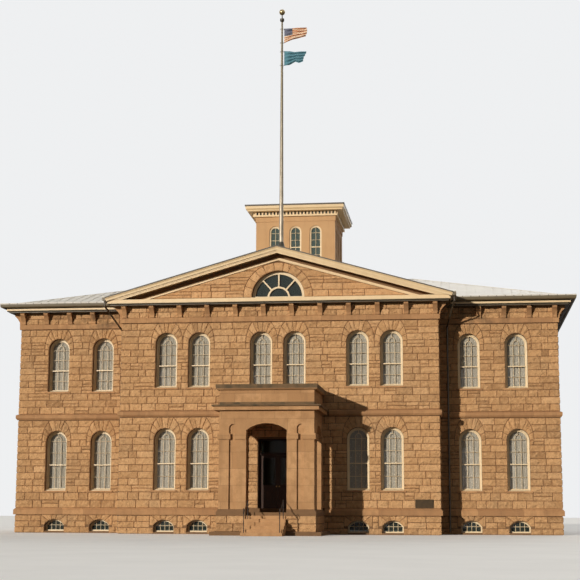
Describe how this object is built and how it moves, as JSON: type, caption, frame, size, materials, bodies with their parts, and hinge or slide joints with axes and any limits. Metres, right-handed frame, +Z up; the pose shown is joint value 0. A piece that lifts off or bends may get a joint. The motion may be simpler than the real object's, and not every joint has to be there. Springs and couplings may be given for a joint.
{
  "type": "town hall building",
  "caption": "Two-storey stone town hall with a gabled centre, hipped wings, an arched entrance porch with double doors, a square cupola and a flagpole.",
  "frame": {"origin": "on the ground under the middle of the whole building's box", "axes": "+X to the right as seen from the front, +Y from the entrance front to the rear, +Z up"},
  "size_m": [29.26, 24.21, 26.9974],
  "materials": {
    "rock_stone": "rock-faced sandstone blocks in courses",
    "smooth_stone": "finely tooled sandstone",
    "cream_paint": "cream paint, satin, slightly weathered",
    "cream_wood": "cream painted wood, satin",
    "brown_paint": "dark brown paint, weathered",
    "cupola_stucco": "smooth tan render",
    "roof_metal": "pale standing-seam sheet, matt",
    "floor_boards": "worn boards",
    "window_glass": "clear old glass",
    "lace_curtain": "white lace, gathered",
    "door_wood": "dark varnished oak",
    "door_brass": "worn brass",
    "rail_iron": "black painted iron",
    "pole_metal": "grey-white painted pole, weathered",
    "gilt_ball": "gilt, polished",
    "striped_flag": "red and white woven nylon with a blue canton",
    "blue_flag": "blue woven nylon",
    "bronze": "dark patinated bronze"
  },
  "bodies": {
    "building": {"front_wall_left": "rock_stone", "front_wall_right": "rock_stone", "front_wall_upper": "rock_stone", "gable_walls": "rock_stone", "pavilion_return_walls": "rock_stone", "wing_front_walls": "rock_stone", "wing_rear_walls": "rock_stone", "side_wall_left": "rock_stone", "side_wall_right": "rock_stone", "rear_wall": "rock_stone", "water_table": "smooth_stone", "belt_course": "smooth_stone", "frieze_band": "smooth_stone", "window_sills": "smooth_stone", "eave_brackets": "smooth_stone", "eave_cornice": "cream_paint", "raking_cornices": "cream_paint", "gutters": "brown_paint", "downspouts": "cream_paint", "gable_roof_front": "roof_metal", "gable_roof_rear": "roof_metal", "hip_roof_left": "roof_metal", "hip_roof_right": "roof_metal", "cupola_walls": "cupola_stucco", "cupola_cornice": "cream_paint", "cupola_roof": "roof_metal", "ground_floor": "floor_boards", "second_floor": "floor_boards", "attic_floor": "floor_boards", "window_frames": "cream_wood", "window_glass": "window_glass", "window_curtains": "lace_curtain", "lunette_frames": "cream_wood", "portico_podium": "rock_stone", "portico_steps": "smooth_stone", "portico_piers": "smooth_stone", "portico_arch": "smooth_stone", "portico_side_walls": "smooth_stone", "portico_cornice": "smooth_stone", "portico_parapet": "smooth_stone", "handrails": "rail_iron", "door_frame": "door_wood", "flagpole": "pole_metal", "flagpole_ball": "gilt_ball", "upper_flag": "striped_flag", "lower_flag": "blue_flag", "plaque": "bronze"},
    "left_leaf": {"left_door": "door_wood", "left_door_glass": "window_glass", "left_door_fittings": "door_brass"},
    "right_leaf": {"right_door": "door_wood", "right_door_glass": "window_glass", "right_door_fittings": "door_brass"}
  },
  "joints": [
    {"name": "left_door_hinge", "type": "hinge", "parent": "building", "child": "left_leaf", "pos_m": [-0.8675, -6.562, 2.5], "axis": [0, 0, 1], "range_deg": [0, 95]},
    {"name": "right_door_hinge", "type": "hinge", "parent": "building", "child": "right_leaf", "pos_m": [0.8675, -6.562, 2.5], "axis": [0, 0, -1], "range_deg": [0, 95]}
  ]
}
